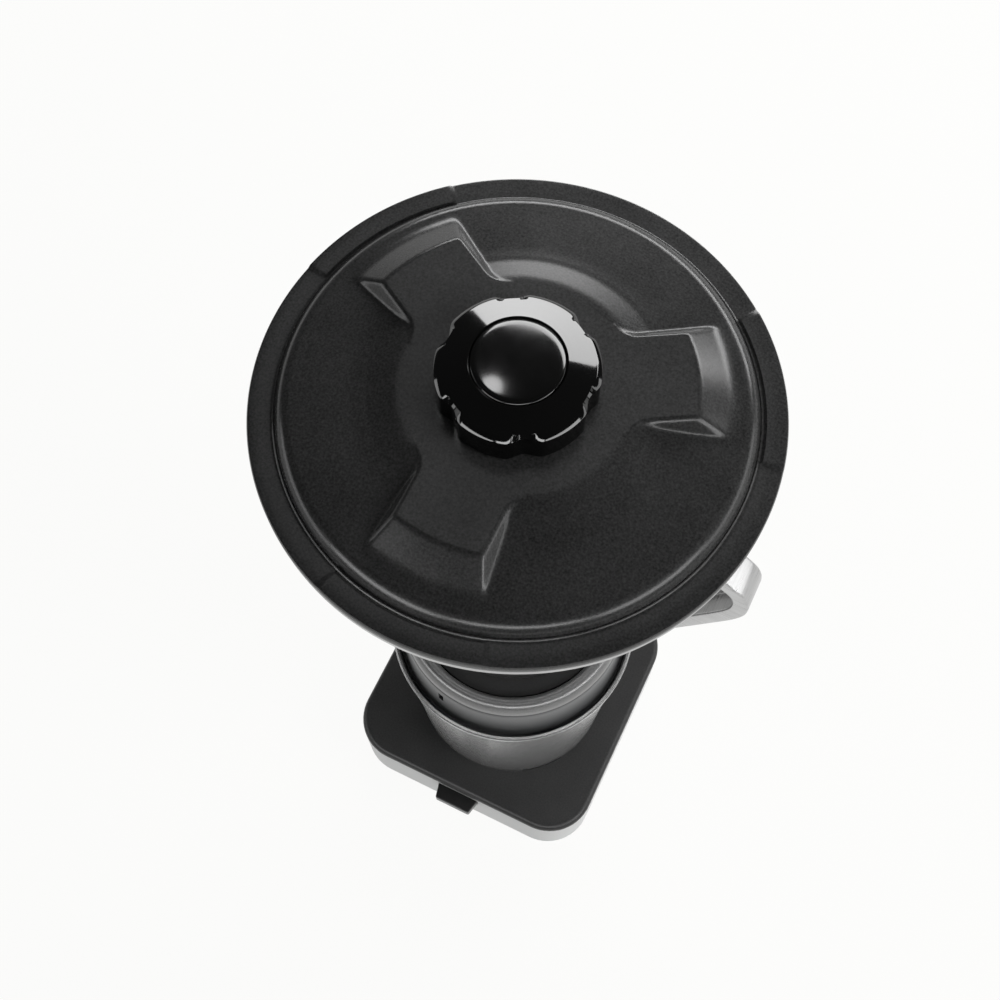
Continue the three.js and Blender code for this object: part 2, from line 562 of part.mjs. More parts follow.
piece("jar_body", jarBody(), STAINLESS);
piece("jar_foot", ring(JAR_FOOT.outer, JAR_FOOT.inner, JAR_FOOT.low, JAR_FOOT.high, FINE), STAINLESS);
piece("jar_handle", jarHandle(), STAINLESS);
piece("blade_hub", bladeHub(), STAINLESS);
piece("hub_gasket", ring(HUB.flange - 0.5, HUB.thread + GAP, 227.8, HUB.seat - GAP), BLACK_RUBBER);
piece("hub_nut", ring(NUT.radius, HUB.thread + GAP, NUT.low, NUT.high), STAINLESS);
piece("hub_bush", ring(HUB.bore - GAP, BLADE_SHAFT.bore, 222, HUB.high - 1, MIDDLING), BRONZE);
piece("blade_shaft", ring(BLADE_SHAFT.radius, 0, BLADE_SHAFT.low, BLADE_SHAFT.high, MIDDLING), STAINLESS);
piece("driven_coupling", drivenCoupling(), STEEL);
piece("lower_blade", knife(BLADE.lowerZ, -BLADE.bend), STAINLESS).rotation.z = 70 * DEGREE;
piece("upper_blade", knife(BLADE.upperZ, BLADE.bend), STAINLESS);
piece("blade_nut", bladeNut(), STAINLESS);

piece("lid_shell", lidShell(), MATTE_LID);
piece("lid_gasket", ring(92.6, LID.skirt + GAP, 435, 441, FINE), BLACK_RUBBER);
piece("filler_plug", fillerPlug(), MATTE_LID);
piece("plug_seal", ring(23.6, FILLER.sleeve + GAP, 452, 457), BLACK_RUBBER);
piece("cap_knob", capKnob(), GLOSS_BLACK);
piece("cap_boss", capBoss(), GLOSS_BLACK);
piece("cap_screw", capScrew(), STEEL);

export default group;
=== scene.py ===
import json
import math

import bmesh
import bpy
from mathutils import Matrix, Vector


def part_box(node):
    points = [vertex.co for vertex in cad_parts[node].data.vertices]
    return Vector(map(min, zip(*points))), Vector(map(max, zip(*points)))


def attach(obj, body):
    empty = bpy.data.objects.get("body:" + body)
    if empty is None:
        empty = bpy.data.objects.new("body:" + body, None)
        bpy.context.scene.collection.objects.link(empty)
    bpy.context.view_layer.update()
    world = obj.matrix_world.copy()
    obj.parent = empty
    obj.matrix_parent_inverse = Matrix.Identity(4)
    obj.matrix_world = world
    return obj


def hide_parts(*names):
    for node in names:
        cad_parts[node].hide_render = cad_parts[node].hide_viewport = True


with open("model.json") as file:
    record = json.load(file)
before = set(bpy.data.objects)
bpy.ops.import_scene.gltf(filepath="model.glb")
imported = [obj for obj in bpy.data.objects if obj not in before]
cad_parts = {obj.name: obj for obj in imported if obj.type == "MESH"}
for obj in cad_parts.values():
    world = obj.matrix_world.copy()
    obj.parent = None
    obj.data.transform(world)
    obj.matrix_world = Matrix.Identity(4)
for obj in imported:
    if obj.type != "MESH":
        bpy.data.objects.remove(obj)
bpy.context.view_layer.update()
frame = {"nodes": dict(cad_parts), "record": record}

# ------------------------------------------------------------------ sizes, in mm
MM = 0.001
ROUND = 144  # sides of a turned piece
SHARP = 38  # degrees between two faces from which their shared edge stays crisp


def low(node):
    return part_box(node)[0][2] / MM


def high(node):
    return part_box(node)[1][2] / MM


def reach(node):
    """The radius of a round node that stands on the centre line."""
    return max(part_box(node)[1][1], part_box(node)[1][0]) / MM


# Base: the housing is a square box, and the black cover on it carries the rounded top edge.
BASE_START, BASE_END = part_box("base_housing")
BASE_WIDE = (BASE_END[0] - BASE_START[0]) / MM
BASE_DEEP = (BASE_END[1] - BASE_START[1]) / MM
BASE_CORNER = 27.4  # radius of the corners, seen from above
BASE_WALL = 3
BASE_LOW = low("base_housing")
BASE_HIGH = high("base_housing")
LEDGE_REACH = 24  # how far in the ledge under the cover reaches
LEDGE_UNDERSIDE = 43
COVER_LOW = low("base_top_cover")
COVER_HIGH = high("base_top_cover")
COVER_EDGE = 4  # how far in the cover's rounded edge starts
COVER_DROP = 3.6  # how far the rounded edge falls

# Motor column: radii, heights and skin.
COLUMN_FOOT = 58.4
COLUMN_LIP = reach("column_shell")
COLUMN_HIGH = high("column_shell")
COLUMN_SKIN = 2.4
LIP_TALL = 6

# Seat collar: its domed top and the small slot in its side, in degrees from +X.
SEAT_TOP = high("seat_collar")
DOME_EDGE = 60.4
SLOT_ANGLE = -103.5

# Jar: a cone whose radius grows by JAR_FLARE for each mm of height.
JAR_FOOT = 41
JAR_LOW = low("jar_body")
JAR_HIGH = high("jar_body")
JAR_RIM = reach("jar_body")
JAR_FLARE = 0.2617

# Jar handle: its outer line as distance from the centre line and height, from top to bottom.
HANDLE_LINE = (
    (78, 405), (90, 395.5), (99, 388.5), (107, 381), (109.8, 370), (107.4, 357),
    (97, 335), (85.6, 312), (73.5, 287), (63, 267), (53, 254), (40, 244),
)

# Lid: the flange round the edge, with three thicker stretches.
LID_FLANGE = -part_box("lid_shell")[0][1] / MM
LID_LOW = 447
LID_TOP = 452
PAD_START = 92.5  # inner radius of the thicker stretches
PAD_HALF = 18.8  # degrees to each side of an arm
PAD_RISE = 0.8

# Lid: the crown is level near the middle and then slopes down to where it rolls over to the flange.
CROWN_TOP = 464
CROWN_LEVEL = 57
CROWN_REACH = 88
CROWN_LOW = 457.9  # height that the slope would have at CROWN_REACH
CROWN_EDGE = 84.1  # where the slope starts to roll over

# Lid: the raised round middle and the three arms that run out of it.
PLATEAU = high("lid_shell")
DISC = 43.2
DISC_FOOT = CROWN_LEVEL
ARMS = (-90, 30, 150)
ARM_HALF = 17.4
ARM_END = 66
ARM_FOOT = 80
ARM_ROOT = 12  # radius of the arc where an arm's side runs into the middle
ARM_DRAFT = 1.5  # drop per mm across the arm's side wall

# Filler cap: the knob stands on the plug, and a boss fills the recess in its top.
PLUG_TALL = 28.9
KNOB_LOW = low("filler_plug") + PLUG_TALL
KNOB_RIM = 484
KNOB_RADIUS = 29.9
KNOB_RECESS = 17.3
BOSS_LOW = low("cap_boss")
BOSS_TOP = high("cap_boss")


# ------------------------------------------------------------------ shaping
def softened(outline, radius):
    """The outline with its corners rounded off, and its ends too if it ends where it starts."""
    steps, straight = 3, 6
    closed = outline[0] == outline[-1]
    points = [Vector(p) for p in (outline[:-1] if closed else outline)]
    count = len(points)
    result = []
    for i, corner in enumerate(points):
        if not closed and i in (0, count - 1):
            result.append(corner)
            continue
        before, after = points[i - 1] - corner, points[(i + 1) % count] - corner
        if math.degrees(before.angle(-after)) < straight:
            result.append(corner)
            continue
        trim = min(radius, 0.45 * before.length, 0.45 * after.length)
        start = corner + before.normalized() * trim
        end = corner + after.normalized() * trim
        for k in range(steps + 1):
            t = k / steps
            result.append(start * (1 - t) ** 2 + corner * 2 * t * (1 - t) + end * t**2)
    if closed:
        result.append(result[0].copy())
    return [tuple(p) for p in result]


def finished(name, builder, body, *nodes):
    """Turns a bmesh into a smooth-shaded piece that rides on a body and stands for the CAD nodes."""
    bmesh.ops.remove_doubles(builder, verts=builder.verts, dist=1e-7)
    bmesh.ops.recalc_face_normals(builder, faces=builder.faces)
    mesh = bpy.data.meshes.new(name)
    builder.to_mesh(mesh)
    builder.free()
    piece = bpy.data.objects.new(name, mesh)
    bpy.context.scene.collection.objects.link(piece)
    shade(piece)
    if body:
        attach(piece, body)
        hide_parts(*nodes)
    return piece


def shade(piece):
    for face in piece.data.polygons:
        face.use_smooth = True
    piece.data.set_sharp_from_angle(angle=math.radians(SHARP))


def lofted(rings, closed):
    """Skins a list of rings of points in mm. A ring of one point closes the skin at a pole."""
    builder = bmesh.new()
    rows = [[builder.verts.new(Vector(p) * MM) for p in ring] for ring in rings]
    pairs = list(zip(rows, rows[1:]))
    if closed:
        pairs.append((rows[-1], rows[0]))
    for lower_row, upper_row in pairs:
        count = max(len(lower_row), len(upper_row))
        for i in range(count):
            j = (i + 1) % count
            if len(lower_row) == 1:
                builder.faces.new((lower_row[0], upper_row[j], upper_row[i]))
            elif len(upper_row) == 1:
                builder.faces.new((lower_row[i], lower_row[j], upper_row[0]))
            else:
                builder.faces.new((lower_row[i], lower_row[j], upper_row[j], upper_row[i]))
    return builder


def turned(outline, moved=None, sides=ROUND):
    """Spins (radius, height) points about the centre line. moved may shift a point at an angle."""
    closed = outline[0] == outline[-1]
    rings = []
    for radius, height in outline[:-1] if closed else outline:
        if radius < 1e-6:
            rings.append([(0, 0, height)])
            continue
        ring = []
        for i in range(sides):
            angle = 2 * math.pi * i / sides
            r, z = moved(radius, height, angle) if moved else (radius, height)
            ring.append((r * math.cos(angle), r * math.sin(angle), z))
        rings.append(ring)
    return lofted(rings, closed)


def washer(node, inner, edge):
    """A flat ring as wide and tall as the node, with its edges rounded by this much."""
    outer, bottom, top = reach(node), low(node), high(node)
    outline = [(inner, bottom), (outer, bottom), (outer, top), (inner, top), (inner, bottom)]
    return turned(softened(outline, edge))


def base_ring(inset, height):
    """One ring of points round the base, this far inside its outer side."""
    corner = max(BASE_CORNER - inset, 2)
    wide, deep = BASE_WIDE - 2 * inset, BASE_DEEP - 2 * inset
    steps = 14
    ring = []
    for quarter in range(4):
        x = (wide / 2 - corner) * (1 if quarter in (0, 3) else -1)
        y = (deep / 2 - corner) * (1 if quarter in (0, 1) else -1)
        for i in range(steps + 1):
            angle = math.pi / 2 * (quarter + i / steps)
            ring.append((x + corner * math.cos(angle), y + corner * math.sin(angle), height))
    return ring


def prism(outline, bottom, top):
    """A flat outline in mm pulled straight up."""
    builder = bmesh.new()
    rows = [[builder.verts.new(Vector((x, y, z)) * MM) for x, y in outline] for z in (bottom, top)]
    builder.faces.new(reversed(rows[0]))
    builder.faces.new(rows[1])
    for i in range(len(outline)):
        j = (i + 1) % len(outline)
        builder.faces.new((rows[0][i], rows[0][j], rows[1][j], rows[1][i]))
    return builder


def cut(piece, tool_builder):
    """Takes the tool's shape out of the piece for good."""
    tool = finished("tool", tool_builder, None)
    step = piece.modifiers.new("cut", "BOOLEAN")
    step.operation = "DIFFERENCE"
    step.solver = "EXACT"
    step.object = tool
    bpy.context.view_layer.update()
    graph = bpy.context.evaluated_depsgraph_get()
    piece.data = bpy.data.meshes.new_from_object(piece.evaluated_get(graph))
    piece.modifiers.clear()
    bpy.data.objects.remove(tool)
    shade(piece)


def bevelled(piece, width, segments=2, angle=40):
    """Rounds the edges of a piece that was cut or built square."""
    step = piece.modifiers.new("edges", "BEVEL")
    step.width = width * MM
    step.segments = segments
    step.limit_method = "ANGLE"
    step.angle_limit = math.radians(angle)
    step.harden_normals = True


def eased(x):
    """0 to 1 with soft ends."""
    x = min(max(x, 0), 1)
    return x * x * (3 - 2 * x)


def higher(a, b, blend):
    """The larger of two heights, with a fillet where they cross."""
    share = min(max(0.5 + 0.5 * (a - b) / blend, 0), 1)
    return b + (a - b) * share + blend * share * (1 - share)


def lower(a, b, blend):
    """The smaller of two heights, with a rounded edge where they cross."""
    return -higher(-a, -b, blend)


# ------------------------------------------------------------------ base
def base_housing():
    """The square wall with a ledge for the cover, a mouth for the switch and a hole for the cord gland."""
    outline = [
        (0.6, BASE_LOW), (0, BASE_LOW + 0.6), (0, BASE_HIGH - 0.3), (0.3, BASE_HIGH),
        (LEDGE_REACH, BASE_HIGH), (LEDGE_REACH, LEDGE_UNDERSIDE),
        (BASE_WALL, LEDGE_UNDERSIDE), (BASE_WALL, BASE_LOW),
    ]
    rings = [base_ring(inset, height) for inset, height in outline]
    piece = finished("base_wall", lofted(rings, True), "base", "base_housing")
    mouth_half, mouth_rise, mouth_middle = 13.8, 5.4, 37.5
    before, behind = -BASE_DEEP / 2 - 4, -BASE_DEEP / 2 + 8
    mouth = [(-mouth_half, before), (mouth_half, before), (mouth_half, behind), (-mouth_half, behind)]
    cut(piece, prism(mouth, mouth_middle - mouth_rise, mouth_middle + mouth_rise))
    gland_radius, gland_middle, drill = 7.3, 20, 12
    gland = turned([(0, 0), (gland_radius, 0), (gland_radius, drill), (0, drill)], sides=48)
    bmesh.ops.rotate(gland, verts=gland.verts, matrix=Matrix.Rotation(-math.pi / 2, 3, "X"))
    start = Vector((0, BASE_DEEP / 2 - 8, gland_middle))
    bmesh.ops.translate(gland, verts=gland.verts, vec=start * MM)
    cut(piece, gland)
    bevelled(piece, 0.3)
    return piece


def base_cover():
    """The black plate with a rounded edge and a round hole for the column."""
    rings = [base_ring(0.3, COVER_LOW), base_ring(0, COVER_LOW + 0.3)]
    for i in range(9):
        angle = math.pi / 2 * i / 8
        inset, fall = COVER_EDGE * (1 - math.cos(angle)), COVER_DROP * (1 - math.sin(angle))
        rings.append(base_ring(inset, COVER_HIGH - fall))
    hole = COLUMN_FOOT + 0.3
    for height in (COVER_HIGH, COVER_LOW):
        ring = []
        for x, y, _ in rings[0]:
            away = math.hypot(x, y)
            ring.append((x / away * hole, y / away * hole, height))
        rings.append(ring)
    return finished("base_cover", lofted(rings, True), "base", "base_top_cover")


def switch_tongue():
    """The paddle, with sides that run in from the base's front to its tip."""
    box_low, box_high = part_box("switch_paddle")
    front, back = box_low[1] / MM, box_high[1] / MM
    half, tip = box_high[0] / MM, 11.4
    wall = -BASE_DEEP / 2 - 0.6
    outline = [(half, back), (half, wall), (tip, front), (-tip, front), (-half, wall), (-half, back)]
    shape = prism(outline, low("switch_paddle"), high("switch_paddle"))
    piece = finished("switch_tongue", shape, "paddle", "switch_paddle")
    bevelled(piece, 0.9, 3, 30)
    return piece


# ------------------------------------------------------------------ motor column
def column_shell():
    """A skin that flares from its foot to a small lip."""
    flare = COLUMN_LIP - 0.5 - COLUMN_FOOT
    outside = [(COLUMN_FOOT, COVER_LOW), (COLUMN_FOOT, COVER_HIGH)]
    for i in range(1, 13):
        t = i / 12
        height = COVER_HIGH + t * (COLUMN_HIGH - LIP_TALL - COVER_HIGH)
        outside.append((COLUMN_FOOT + flare * (0.55 * t + 0.45 * t * t), height))
    lip = [
        (COLUMN_LIP, COLUMN_HIGH - 3), (COLUMN_LIP, COLUMN_HIGH - 0.8),
        (COLUMN_LIP - 0.8, COLUMN_HIGH), (COLUMN_LIP - 1.9, COLUMN_HIGH),
        (COLUMN_LIP - 2.5, COLUMN_HIGH - 1.2),
    ]
    inside = [(radius - COLUMN_SKIN, height) for radius, height in reversed(outside[:-1])]
    shape = turned([*outside, *lip, *inside, outside[0]])
    return finished("column_skin", shape, "base", "column_shell")


def seat_collar():
    """The grey collar that stands in the column, closed by a plate that the drive comes through."""
    plate = 3.2
    outline = [
        (46, 154.4), (61, 154.4), (62.2, 162), (63.5, 170.8), (62.4, 171.6), (61.6, 180),
        (61, 192), (60.7, 203), (DOME_EDGE - 0.3, SEAT_TOP), (10.6, SEAT_TOP),
        (10.6, SEAT_TOP - plate), (DOME_EDGE - 3.4, SEAT_TOP - plate),
        (58.2, 170), (57.4, 157.4), (46, 157.4), (46, 154.4),
    ]
    piece = finished("seat_dome", turned(softened(outline, 1.2)), "base", "seat_collar")
    half, start, end = 1.6, DOME_EDGE - 4, DOME_EDGE + 4
    slot = prism([(start, -half), (end, -half), (end, half), (start, half)], 189.5, 198.5)
    turn = Matrix.Rotation(math.radians(SLOT_ANGLE), 3, "Z")
    bmesh.ops.rotate(slot, verts=slot.verts, matrix=turn)
    cut(piece, slot)
    return piece


def seat_ring():
    """The rolled bead round the seat."""
    bottom, outer, inner = 206, 60.2, 51
    outline = [(outer, bottom)]
    for i in range(13):
        angle = math.radians(-8 + 176 * i / 12)
        outline.append((55.6 + 4.5 * math.cos(angle), 208.2 + 6.2 * math.sin(angle)))
    outline += [(inner, bottom), (outer, bottom)]
    return finished("seat_bead", turned(outline), "base", "seat_ring")


def seat_pad():
    return finished("jar_mat", washer("seat_pad", 19, 0.6), "base", "seat_pad")


# ------------------------------------------------------------------ jar
def jar_wall(height):
    """The jar's outer radius at a height."""
    return JAR_FOOT + JAR_FLARE * (height - JAR_LOW)


def jar_body():
    """The steel cone: a thin wall and bottom, and a bead rolled outwards round the rim."""
    hub_hole, sheet = 13.4, 1.5
    top = JAR_HIGH - 5.6
    outline = [
        (hub_hole, JAR_LOW), (JAR_FOOT - sheet, JAR_LOW), (JAR_FOOT, JAR_LOW + sheet),
        (jar_wall(top), top),
    ]
    middle_r, middle_z = JAR_RIM - 1.6, JAR_HIGH - 2.5
    for i in range(11):
        angle = math.radians(-75 + 255 * i / 10)
        outline.append((middle_r + 2.15 * math.cos(angle), middle_z + 2.5 * math.sin(angle)))
    outline += [
        (JAR_FOOT - sheet, JAR_LOW + 2 * sheet), (JAR_FOOT - 2 * sheet, JAR_LOW + sheet),
        (hub_hole, JAR_LOW + sheet), (hub_hole, JAR_LOW),
    ]
    return finished("jar_shell", turned(outline), "jar", "jar_body")


def jar_foot():
    return finished("jar_skirt", washer("jar_foot", 36.5, 0.8), "jar", "jar_foot")


def through(points, steps):
    """A smooth line through the points, each stretch in equal steps."""
    ends = [2 * points[0] - points[1], *points, 2 * points[-1] - points[-2]]
    line = []
    for a, b, c, d in zip(ends, ends[1:], ends[2:], ends[3:]):
        for i in range(steps):
            t = i / steps
            square = (2 * a - 5 * b + 4 * c - d) * t**2
            cube = (3 * b - a - 3 * c + d) * t**3
            line.append(0.5 * (2 * b + (c - a) * t + square + cube))
    return [*line, points[-1]]


def jar_handle():
    """A folded channel that follows the handle's outer line, trimmed where it meets the jar."""
    half, deep, sheet = 8, 7, 1.6
    section = [
        (-half, 0), (half, 0), (half, deep), (half - sheet, deep), (half - sheet, sheet),
        (-half + sheet, sheet), (-half + sheet, deep), (-half, deep), (-half, 0),
    ]
    section = softened(section, 1.1)[:-1]
    line = through([Vector(p) for p in HANDLE_LINE], 8)
    rings = []
    for i, point in enumerate(line):
        along = (line[min(i + 1, len(line) - 1)] - line[max(i - 1, 0)]).normalized()
        inward = Vector((along.y, -along.x))
        if inward.x > 0:
            inward = -inward
        ring = []
        for across, depth in section:
            x, z = point + inward * depth
            ring.append((x, across, z))
        rings.append(ring)
    builder = lofted(rings, False)
    for ring in (rings[0], rings[-1]):
        corners = [min(builder.verts, key=lambda v: (v.co - Vector(p) * MM).length) for p in ring]
        builder.faces.new(corners)
    piece = finished("jar_ear", builder, "jar", "jar_handle")
    bottom, top, overlap = JAR_LOW - 40, JAR_HIGH - 10, 0.2
    inside = [(0, bottom), (jar_wall(bottom) - overlap, bottom), (jar_wall(top) - overlap, top), (0, top)]
    cut(piece, turned(inside, sides=96))
    return piece


# ------------------------------------------------------------------ lid
def crown(radius):
    """Height of the plain crown, level in the middle and sloping beyond."""
    if radius > CROWN_LEVEL:
        return CROWN_TOP - (radius - CROWN_LEVEL) * (CROWN_TOP - CROWN_LOW) / (CROWN_REACH - CROWN_LEVEL)
    return CROWN_TOP


def slope(radius, start, end, foot):
    """A straight slope that leaves the plateau at start and reaches the height foot at end."""
    return PLATEAU - (radius - start) * (PLATEAU - foot) / (end - start)


def beyond_side(along, across):
    """How far a point lies outside an arm's side, which sweeps into the middle by the root arc."""
    centre_across = ARM_HALF + ARM_ROOT
    centre_along = math.sqrt((DISC + ARM_ROOT) ** 2 - centre_across**2)
    if along >= centre_along:
        return across - ARM_HALF
    if across * centre_along > along * centre_across:
        return DISC
    return ARM_ROOT - math.hypot(along - centre_along, across - centre_across)


def star(radius, angle):
    """Height of the lid's top: the crown, the round middle, and three arms with sloping ends."""
    disc = lower(PLATEAU, slope(radius, DISC, DISC_FOOT, crown(DISC_FOOT)), 1.2)
    height = higher(crown(radius), disc, 0.8)
    for arm in ARMS:
        turn = angle - math.radians(arm)
        along, across = radius * math.cos(turn), abs(radius * math.sin(turn))
        if along <= 0:
            continue
        side = PLATEAU - beyond_side(along, across) * ARM_DRAFT
        top = lower(PLATEAU, slope(radius, ARM_END, ARM_FOOT, crown(ARM_FOOT)), 0.6)
        height = higher(height, lower(top, side, 2.0), 1.3)
    return min(height, PLATEAU)


def pad(angle):
    """1 on the three thicker stretches of the flange."""
    for arm in ARMS:
        turn = (math.degrees(angle) - arm + 180) % 360 - 180
        if abs(turn) < PAD_HALF:
            return 1
    return 0


def lid_top(radius, height, angle):
    """Raises the star out of the crown and the thicker stretches out of the flange."""
    if radius < CROWN_EDGE and height > crown(radius) - 0.5:
        return radius, star(radius, angle)
    if height >= LID_TOP - 1.2 and radius > PAD_START:
        return radius, height + PAD_RISE * pad(angle)
    return radius, height


def lid_shell():
    """The lid: star and crown, rolled edge, flange, and a plug ring that goes into the jar."""
    filler_hole, lip = 27.5, 465.5
    outline = [(filler_hole, lip), (filler_hole, PLATEAU), (40, PLATEAU)]
    outline += [(radius, crown(radius)) for radius in range(42, 85)]
    round_edge, edge_r, edge_z = 8, 82.68, 450.8
    for i in range(13):
        angle = math.radians(79 - 66 * i / 12)
        outline.append((edge_r + round_edge * math.cos(angle), edge_z + round_edge * math.sin(angle)))
    outline += [
        (90.8, LID_TOP + 0.9), (91.2, LID_TOP + 0.3), (91.9, LID_TOP), (92.8, LID_TOP),
        (LID_FLANGE - 1.1, LID_TOP), (LID_FLANGE - 0.4, LID_TOP - 0.25), (LID_FLANGE, LID_TOP - 1),
        (LID_FLANGE, LID_LOW + 0.6), (LID_FLANGE - 0.6, LID_LOW),
    ]
    plug_outer, plug_inner, plug_low, edge = 89, 86.2, 430, 0.6
    outline += [
        (plug_outer, LID_LOW), (plug_outer, plug_low + edge), (plug_outer - edge, plug_low),
        (plug_inner + edge, plug_low), (plug_inner, plug_low + edge), (plug_inner, 448),
        (84, 454), (57, 459.5), (24, 461), (24, lip), (filler_hole, lip),
    ]
    return finished("lid_moulding", turned(outline, lid_top, sides=480), "lid", "lid_shell")


def lid_gasket():
    """The seal round the plug ring, with a lip at mid height."""
    inner, outer, lip = 89.3, reach("lid_gasket"), 0.6
    bottom, top = low("lid_gasket"), high("lid_gasket")
    outline = [
        (inner, bottom), (outer - lip, bottom), (outer, (bottom + top) / 2),
        (outer - lip, top), (inner, top), (inner, bottom),
    ]
    return finished("lid_seal", turned(softened(outline, 0.5)), "lid", "lid_gasket")


# ------------------------------------------------------------------ filler cap
def scalloped(radius, height, angle):
    """Pulls the knob's outer wall in at six finger notches, 60 degrees apart."""
    inner, notch_half, notch_deep = 27, 14, 2.3
    if radius < inner or height < KNOB_LOW - 1:
        return radius, height
    away = abs((math.degrees(angle) + 30) % 60 - 30)
    notch = 0.5 * (1 + math.cos(math.pi * min(away / notch_half, 1)))
    share = eased((radius - inner + 0.1) / 1.6)
    return radius - notch_deep * notch * share, height


def cap_knob():
    """The black knob: a skirt, a chamfered rim, a top that rises to a recess, and a spigot below."""
    chamfer, rise = 1.7, 3.7
    spigot, spigot_low, screw_hole, screw_hole_top = 6.2, 462.8, 2.1, 472
    outline = [
        (0, screw_hole_top), (screw_hole, screw_hole_top), (screw_hole, spigot_low),
        (spigot, spigot_low), (spigot, KNOB_LOW), (KNOB_RADIUS - 1, KNOB_LOW),
        (KNOB_RADIUS, KNOB_LOW + 0.8), (KNOB_RADIUS, KNOB_RIM - chamfer),
        (KNOB_RADIUS - chamfer, KNOB_RIM),
    ]
    top_outer, top_inner = 27.9, KNOB_RECESS + 0.5
    for i in range(13):
        t = i / 12
        outline.append((top_outer - (top_outer - top_inner) * t, KNOB_RIM + 0.1 + rise * t))
    outline += [
        (KNOB_RECESS, KNOB_RIM + rise - 0.3), (KNOB_RECESS, BOSS_LOW - 0.3), (0, BOSS_LOW - 0.3),
    ]
    return finished("filler_knob", turned(outline, scalloped, sides=240), "knob", "cap_knob")


def cap_boss():
    """The round button in the knob's recess, with a slightly domed top."""
    edge, dome = reach("cap_boss"), 1.5
    outline = [(0, BOSS_LOW), (edge, BOSS_LOW), (edge, BOSS_TOP - 2.1), (edge - 0.4, BOSS_TOP - 1.7)]
    for i in range(1, 15):
        t = i / 14
        outline.append(((edge - 0.9) * (1 - t), BOSS_TOP - dome * (1 - t) ** 2))
    return finished("knob_boss", turned(outline), "knob", "cap_boss")


def filler_plug():
    """The sleeve that goes into the lid's hole, with a collar on top and a hole for the spigot."""
    inner, outer, collar, spigot_hole = 20.4, 22.4, 27.2, 6.6
    bottom, top = low("filler_plug"), high("filler_plug")
    outline = [
        (inner, bottom), (outer, bottom), (outer, top - 2.6), (collar, top - 2.6), (collar, top),
        (spigot_hole, top), (spigot_hole, top - 3.4), (inner, top - 3.4), (inner, bottom),
    ]
    return finished("filler_sleeve", turned(softened(outline, 0.7)), "cap", "filler_plug")


# ------------------------------------------------------------------ materials
def linear(code):
    """An sRGB hex value as linear colour."""
    parts = [int(code[i : i + 2], 16) / 255 for i in (0, 2, 4)]
    parts = [c / 12.92 if c <= 0.04045 else ((c + 0.055) / 1.055) ** 2.4 for c in parts]
    return (*parts, 1)


def add(tree, kind, settings=None, links=None):
    """Adds a node, sets its inputs or properties, and joins its inputs to other nodes' outputs."""
    made = tree.nodes.new(kind)
    for key, value in (settings or {}).items():
        if isinstance(key, int) or key in made.inputs:
            made.inputs[key].default_value = value
        else:
            setattr(made, key, value)
    for key, output in (links or {}).items():
        tree.links.new(output, made.inputs[key])
    return made


def surface(name, **settings):
    """A material with one shader. Returns it with its tree, shader and the link that places a pattern."""
    material = bpy.data.materials.new(name)
    material.use_nodes = True
    tree = material.node_tree
    tree.nodes.clear()
    values = {key.replace("_", " "): value for key, value in settings.items()}
    shader = add(tree, "ShaderNodeBsdfPrincipled", values)
    add(tree, "ShaderNodeOutputMaterial", links={"Surface": shader.outputs[0]})
    place = add(tree, "ShaderNodeTexCoord").outputs["Object"]
    return material, tree, shader, {"Vector": place}


def per_metre(size):
    """Pattern scale for a feature of this size in mm."""
    return 1 / (size * MM)


def tinted(tree, shader, pattern, dark, light):
    """Colours the surface between two shades by the middle of a pattern's range."""
    ramp = add(tree, "ShaderNodeValToRGB", links={"Fac": pattern})
    ramp.color_ramp.elements[0].position = 0.3
    ramp.color_ramp.elements[0].color = linear(dark)
    ramp.color_ramp.elements[1].position = 0.7
    ramp.color_ramp.elements[1].color = linear(light)
    tree.links.new(ramp.outputs["Color"], shader.inputs["Base Color"])


def rougher(tree, shader, pattern, least, most):
    """Lets the roughness follow a pattern."""
    spread = add(tree, "ShaderNodeMapRange", {"To Min": least, "To Max": most}, {"Value": pattern})
    tree.links.new(spread.outputs["Result"], shader.inputs["Roughness"])


def bumped(tree, shader, pattern, depth):
    """Raises the surface by a pattern, depth in mm."""
    relief = {"Strength": 1.0, "Distance": depth * MM}
    bump = add(tree, "ShaderNodeBump", relief, {"Height": pattern})
    tree.links.new(bump.outputs["Normal"], shader.inputs["Normal"])


def moulded(name, dark, light, roughness, grain, depth, specular=0.5):
    """Plastic from a spark-eroded mould: a pebbled grain, its colour a little uneven between pebbles."""
    material, tree, shader, place = surface(name, IOR=1.5, Specular_IOR_Level=specular)
    pebble = {"Scale": per_metre(grain), "Detail": 3.0, "Roughness": 0.6}
    pebbles = add(tree, "ShaderNodeTexNoise", pebble, place).outputs["Fac"]
    cloud = {"Scale": per_metre(26), "Detail": 2.0}
    clouds = add(tree, "ShaderNodeTexNoise", cloud, place).outputs["Fac"]
    mixed = add(tree, "ShaderNodeMix", {"Factor": 0.25}, {2: pebbles, 3: clouds}).outputs["Result"]
    tinted(tree, shader, mixed, dark, light)
    rougher(tree, shader, mixed, roughness - 0.05, roughness + 0.07)
    bumped(tree, shader, pebbles, depth)
    return material


def polished(name, colour, roughness):
    """Plastic from a polished mould, clear and deep, with faint wiping marks in the gloss."""
    material, tree, shader, place = surface(name, Base_Color=linear(colour), IOR=1.52)
    wiping = {"Scale": per_metre(9), "Detail": 4.0, "Distortion": 0.6}
    marks = add(tree, "ShaderNodeTexNoise", wiping, place).outputs["Fac"]
    rougher(tree, shader, marks, roughness * 0.7, roughness * 1.5)
    waves = add(tree, "ShaderNodeTexNoise", {"Scale": per_metre(14)}, place).outputs["Fac"]
    bumped(tree, shader, waves, 0.01)
    return material


